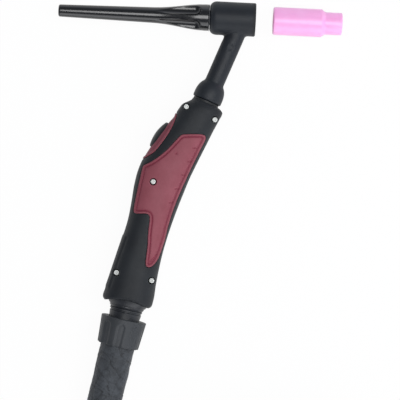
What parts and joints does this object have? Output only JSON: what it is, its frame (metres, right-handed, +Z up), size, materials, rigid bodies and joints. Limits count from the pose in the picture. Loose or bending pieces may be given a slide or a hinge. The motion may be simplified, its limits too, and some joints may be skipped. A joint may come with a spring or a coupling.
{
  "type": "tig torch",
  "caption": "Air-cooled TIG welding torch with angled neck, long back cap, two-shell handle with trigger, ball swivel, sleeved cable and loose ceramic gas cup.",
  "frame": {"origin": "centre of the torch head's front face, at the mouth of its front threaded socket", "axes": "+X out of the nozzle along the electrode, +Y towards the head from the handle, +Z up from the surface that the torch lies on"},
  "size_m": [0.3036, 0.5551, 0.0557],
  "materials": {
    "head_rubber": "matte, moulded",
    "heat_shield": "matte",
    "brass": "turned",
    "copper": "drawn",
    "black_nylon": "moulded, satin",
    "shell_plastic": "moulded, fine texture",
    "grip_plastic": "soft-touch moulding",
    "trigger_rubber": "satin",
    "screw_steel": "zinc plated",
    "cable_rubber": "smooth rubber jacket",
    "cap_plastic": "polished moulding",
    "seal_rubber": "grey silicone",
    "tungsten": "centreless ground",
    "cup_ceramic": "pressed alumina, unglazed",
    "sleeve_leather": "wrinkled split leather",
    "strap_webbing": "woven hook-and-loop strap",
    "connector_steel": "nickel plated"
  },
  "bodies": {
    "torch": {"head_moulding": "head_rubber", "heat_shield": "heat_shield", "head_core": "brass", "power_tube": "copper", "neck_bush": "black_nylon", "front_shell": "shell_plastic", "back_shell": "shell_plastic", "front_grip_insert": "grip_plastic", "back_grip_insert": "grip_plastic", "trigger_bezel": "grip_plastic", "trigger_switch": "black_nylon", "switch_lead": "cable_rubber", "shell_screws": "screw_steel", "hose_coupling": "brass", "power_hose": "cable_rubber", "junction_boot": "cable_rubber", "handle_cable": "cable_rubber"},
    "trigger": {"trigger_pad": "trigger_rubber", "switch_plunger": "black_nylon"},
    "back_cap": {"back_cap": "cap_plastic", "cap_seal": "seal_rubber"},
    "collet": {"collet": "copper"},
    "electrode": {"tungsten_electrode": "tungsten"},
    "collet_body": {"collet_body": "copper"},
    "gas_cup": {"gas_cup": "cup_ceramic"},
    "cable": {"swivel_ball": "black_nylon", "swivel_cable": "cable_rubber", "sleeve_lead": "sleeve_leather", "sleeve_loop": "sleeve_leather", "sleeve_cuff": "cable_rubber", "cable_lead": "cable_rubber", "cable_coil": "cable_rubber", "coil_straps": "strap_webbing", "lead_splitter": "cable_rubber", "power_plug_grip": "cable_rubber", "power_plug_pin": "brass", "gas_nipple": "brass", "control_plug": "connector_steel"},
    "collar": {"clamp_collar": "shell_plastic"},
    "plug_ring": {"control_plug_ring": "connector_steel"}
  },
  "joints": [
    {"name": "trigger_press", "type": "slide", "parent": "torch", "child": "trigger", "axis": [0.8387, -0.5446, 0], "range_m": [0, 0.0015], "stiffness_N_per_m": 400, "springref_m": -0.002},
    {"name": "back_cap_pull", "type": "slide", "parent": "torch", "child": "back_cap", "axis": [-1, 0, 0], "range_m": [0, 0.14]},
    {"name": "gas_cup_seat", "type": "slide", "parent": "torch", "child": "gas_cup", "axis": [1, 0, 0], "range_m": [-0.0119, 0.06]},
    {"name": "collet_body_seat", "type": "slide", "parent": "torch", "child": "collet_body", "axis": [1, 0, 0], "range_m": [-0.0212, 0.01]},
    {"name": "collet_feed", "type": "slide", "parent": "torch", "child": "collet", "axis": [1, 0, 0], "range_m": [0, 0.04]},
    {"name": "electrode_feed", "type": "slide", "parent": "torch", "child": "electrode", "axis": [1, 0, 0], "range_m": [0, 0.066]},
    {"name": "cable_swing", "type": "hinge", "parent": "torch", "child": "cable", "pos_m": [-0.07664, -0.19172, 0], "axis": [0, 0, 1], "range_deg": [-18, 18]},
    {"name": "collar_turn", "type": "hinge", "parent": "cable", "child": "collar", "pos_m": [-0.07664, -0.19172, 0], "axis": [-0.1822, -0.9833, 0], "continuous": true},
    {"name": "plug_ring_turn", "type": "hinge", "parent": "cable", "child": "plug_ring", "pos_m": [0.08835, -0.46562, 0.0212], "axis": [0.9877, -0.1564, 0], "continuous": true}
  ]
}
